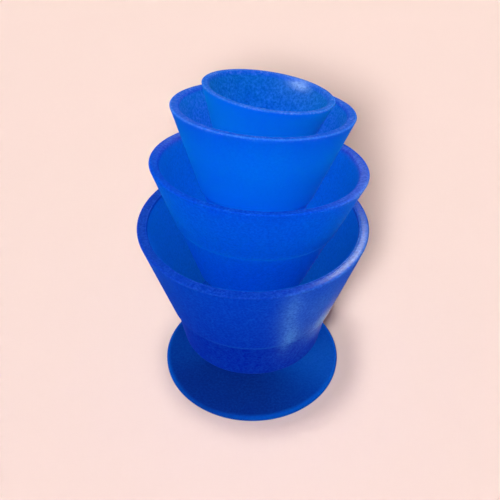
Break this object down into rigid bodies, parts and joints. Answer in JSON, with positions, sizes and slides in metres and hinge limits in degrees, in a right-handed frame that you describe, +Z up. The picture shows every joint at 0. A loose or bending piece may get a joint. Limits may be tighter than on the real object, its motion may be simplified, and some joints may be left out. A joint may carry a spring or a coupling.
{
  "type": "nested silicone mixing cups",
  "caption": "Footed silicone dappen dishes in graded sizes, nested in one another: conical bowls with flat rims on round disc feet, for mixing small amounts.",
  "frame": {"origin": "centre of the extra large cup's foot, on its underside", "axes": "+Z up along the extra large cup's axis, +X to the right and +Y to the back as the set is seen from the front"},
  "size_m": [0.06, 0.0634, 0.0859],
  "materials": {
    "extra_large_silicone": "royal blue translucent silicone, fine matt grain",
    "large_silicone": "royal blue translucent silicone, fine matt grain",
    "medium_silicone": "royal blue translucent silicone, fine matt grain",
    "small_silicone": "royal blue translucent silicone, frosted inside"
  },
  "bodies": {
    "extra_large": {"extra_large_cup": "extra_large_silicone"},
    "large": {"large_cup": "large_silicone"},
    "medium": {"medium_cup": "medium_silicone"},
    "small": {"small_cup": "small_silicone"}
  },
  "joints": [
    {"name": "large_lift", "type": "slide", "parent": "extra_large", "child": "large", "axis": [0, 0, 1], "range_m": [0, 0.035]},
    {"name": "medium_lift", "type": "slide", "parent": "large", "child": "medium", "axis": [0.0526, 0.1265, 0.9906], "range_m": [0, 0.03]},
    {"name": "small_lift", "type": "slide", "parent": "medium", "child": "small", "axis": [0.0611, 0.1731, 0.983], "range_m": [0, 0.03]}
  ]
}
